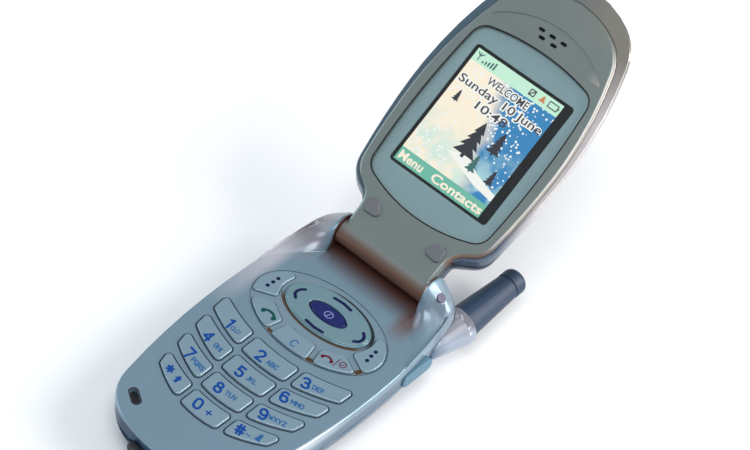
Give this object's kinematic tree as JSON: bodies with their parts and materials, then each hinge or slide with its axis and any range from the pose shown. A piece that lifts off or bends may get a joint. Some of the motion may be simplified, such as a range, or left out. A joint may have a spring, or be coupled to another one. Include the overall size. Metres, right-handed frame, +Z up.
{
  "type": "flip phone",
  "caption": "Folding mobile phone, open, lying on its back: number and function keys, oval ring key, colour screen, stub antenna.",
  "frame": {"origin": "in the resting back face, under the middle of the battery", "axes": "+X the phone's right, +Y from the keypad's bottom end to the hinge, +Z up out of the keypad"},
  "size_m": [0.0483, 0.1402, 0.0594],
  "materials": {
    "cover": "silver blue lacquer on plastic",
    "back": "silver blue lacquer on plastic",
    "lid_inside": "warm grey lacquer on plastic",
    "lid_outside": "dark blue-grey lacquer on plastic",
    "keys": "satin clear-coated key caps",
    "ring": "pale turquoise gloss",
    "centre": "navy gloss",
    "rubber_light": "translucent silicone",
    "rubber_dark": "matte rubber",
    "antenna": "dark blue-grey overmoulding",
    "board": "solder mask",
    "shield": "tinned steel",
    "brass": "gold-plated",
    "steel": "plain steel",
    "black": "black plastic",
    "beige": "insulating plastic",
    "flex": "copper and film",
    "lens": "clear acrylic",
    "mask": "printed film",
    "window": "tinted acrylic",
    "battery": "silver blue lacquer on plastic"
  },
  "bodies": {
    "base": {"front_cover": "cover", "rear_cover": "back", "keypad_mat": "rubber_light", "dome_sheet": "beige", "main_board": "board", "shield_cans": "shield", "sim_holder": "beige", "battery_contacts": "brass", "io_connector": "black", "microphone": "black", "antenna_sleeve": "antenna", "antenna_cap": "antenna", "antenna_core": "brass", "headset_jack": "black", "case_screws": "steel", "hinge_module": "steel", "hinge_bush": "black", "hinge_flex": "flex", "ear_plug": "cover"},
    "lid": {"lid_inner_cover": "lid_inside", "lid_outer_cover": "lid_outside", "screen_lens": "lens", "screen_mask": "mask", "display_module": "black", "outer_window": "window", "outer_display": "black", "lid_board": "board", "earpiece": "black", "ringer": "black", "vibration_motor": "steel", "lid_magnet": "steel", "lid_bumpers": "rubber_dark", "lid_screws": "steel"},
    "battery": {"battery_pack": "battery"},
    "latch": {"battery_latch": "back"},
    "key_1_body": {"key_1": "keys"},
    "key_2_body": {"key_2": "keys"},
    "key_3_body": {"key_3": "keys"},
    "key_4_body": {"key_4": "keys"},
    "key_5_body": {"key_5": "keys"},
    "key_6_body": {"key_6": "keys"},
    "key_7_body": {"key_7": "keys"},
    "key_8_body": {"key_8": "keys"},
    "key_9_body": {"key_9": "keys"},
    "key_star_body": {"key_star": "keys"},
    "key_0_body": {"key_0": "keys"},
    "key_hash_body": {"key_hash": "keys"},
    "soft_key_left_body": {"soft_key_left": "keys"},
    "soft_key_right_body": {"soft_key_right": "keys"},
    "send_key_body": {"send_key": "keys"},
    "clear_key_body": {"clear_key": "keys"},
    "end_key_body": {"end_key": "keys"},
    "centre_key_body": {"centre_key": "centre"},
    "nav_web": {"nav_actuator": "rubber_light"},
    "ring_key": {"nav_ring": "ring"},
    "volume": {"volume_key": "back"},
    "jack_flap": {"jack_cover": "rubber_dark"},
    "connector_flap": {"io_cover": "rubber_dark"}
  },
  "joints": [
    {"name": "lid_hinge", "type": "hinge", "parent": "base", "child": "lid", "pos_m": [0, 0.034, 0.016], "axis": [1, 0, 0], "range_deg": [0, 147.4]},
    {"name": "battery_tilt", "type": "hinge", "parent": "base", "child": "battery", "pos_m": [0, -0.0402, 0.0054], "axis": [-1, 0, 0], "range_deg": [0, 20]},
    {"name": "latch_slide", "type": "slide", "parent": "base", "child": "latch", "axis": [0, 1, 0], "range_m": [0, 0.0015], "stiffness_N_per_m": 200, "springref_m": -0.0005},
    {"name": "key_1_press", "type": "slide", "parent": "base", "child": "key_1_body", "axis": [0, 0, -1], "range_m": [0, 0.0003], "stiffness_N_per_m": 200, "springref_m": -0.0005},
    {"name": "key_2_press", "type": "slide", "parent": "base", "child": "key_2_body", "axis": [0, 0, -1], "range_m": [0, 0.0003], "stiffness_N_per_m": 200, "springref_m": -0.0005},
    {"name": "key_3_press", "type": "slide", "parent": "base", "child": "key_3_body", "axis": [0, 0, -1], "range_m": [0, 0.0003], "stiffness_N_per_m": 200, "springref_m": -0.0005},
    {"name": "key_4_press", "type": "slide", "parent": "base", "child": "key_4_body", "axis": [0, 0, -1], "range_m": [0, 0.0003], "stiffness_N_per_m": 200, "springref_m": -0.0005},
    {"name": "key_5_press", "type": "slide", "parent": "base", "child": "key_5_body", "axis": [0, 0, -1], "range_m": [0, 0.0003], "stiffness_N_per_m": 200, "springref_m": -0.0005},
    {"name": "key_6_press", "type": "slide", "parent": "base", "child": "key_6_body", "axis": [0, 0, -1], "range_m": [0, 0.0003], "stiffness_N_per_m": 200, "springref_m": -0.0005},
    {"name": "key_7_press", "type": "slide", "parent": "base", "child": "key_7_body", "axis": [0, 0, -1], "range_m": [0, 0.0003], "stiffness_N_per_m": 200, "springref_m": -0.0005},
    {"name": "key_8_press", "type": "slide", "parent": "base", "child": "key_8_body", "axis": [0, 0, -1], "range_m": [0, 0.0003], "stiffness_N_per_m": 200, "springref_m": -0.0005},
    {"name": "key_9_press", "type": "slide", "parent": "base", "child": "key_9_body", "axis": [0, 0, -1], "range_m": [0, 0.0003], "stiffness_N_per_m": 200, "springref_m": -0.0005},
    {"name": "key_star_press", "type": "slide", "parent": "base", "child": "key_star_body", "axis": [0, 0, -1], "range_m": [0, 0.0003], "stiffness_N_per_m": 200, "springref_m": -0.0005},
    {"name": "key_0_press", "type": "slide", "parent": "base", "child": "key_0_body", "axis": [0, 0, -1], "range_m": [0, 0.0003], "stiffness_N_per_m": 200, "springref_m": -0.0005},
    {"name": "key_hash_press", "type": "slide", "parent": "base", "child": "key_hash_body", "axis": [0, 0, -1], "range_m": [0, 0.0003], "stiffness_N_per_m": 200, "springref_m": -0.0005},
    {"name": "soft_key_left_press", "type": "slide", "parent": "base", "child": "soft_key_left_body", "axis": [0, 0, -1], "range_m": [0, 0.0003], "stiffness_N_per_m": 200, "springref_m": -0.0005},
    {"name": "soft_key_right_press", "type": "slide", "parent": "base", "child": "soft_key_right_body", "axis": [0, 0, -1], "range_m": [0, 0.0003], "stiffness_N_per_m": 200, "springref_m": -0.0005},
    {"name": "send_key_press", "type": "slide", "parent": "base", "child": "send_key_body", "axis": [0, 0, -1], "range_m": [0, 0.0003], "stiffness_N_per_m": 200, "springref_m": -0.0005},
    {"name": "clear_key_press", "type": "slide", "parent": "base", "child": "clear_key_body", "axis": [0, 0, -1], "range_m": [0, 0.0003], "stiffness_N_per_m": 200, "springref_m": -0.0005},
    {"name": "end_key_press", "type": "slide", "parent": "base", "child": "end_key_body", "axis": [0, 0, -1], "range_m": [0, 0.0003], "stiffness_N_per_m": 200, "springref_m": -0.0005},
    {"name": "centre_key_press", "type": "slide", "parent": "base", "child": "centre_key_body", "axis": [0, 0, -1], "range_m": [0, 0.0003], "stiffness_N_per_m": 200, "springref_m": -0.0005},
    {"name": "nav_rock_side", "type": "hinge", "parent": "base", "child": "nav_web", "pos_m": [0, 0.0148, 0.0109], "axis": [0, 1, 0], "range_deg": [-1.2, 1.2], "stiffness_Nm_per_rad": 0.05},
    {"name": "nav_rock", "type": "hinge", "parent": "nav_web", "child": "ring_key", "pos_m": [0, 0.0148, 0.0109], "axis": [1, 0, 0], "range_deg": [-1.2, 1.2], "stiffness_Nm_per_rad": 0.05},
    {"name": "volume_rock", "type": "hinge", "parent": "base", "child": "volume", "pos_m": [-0.0216, 0.0136, 0.0079], "axis": [0, 0, 1], "range_deg": [-1.5, 1.5], "stiffness_Nm_per_rad": 0.05},
    {"name": "jack_flap_pull", "type": "slide", "parent": "base", "child": "jack_flap", "axis": [1, 0, 0], "range_m": [0, 0.004]},
    {"name": "connector_flap_pull", "type": "slide", "parent": "base", "child": "connector_flap", "axis": [0, -1, 0], "range_m": [0, 0.003]}
  ]
}
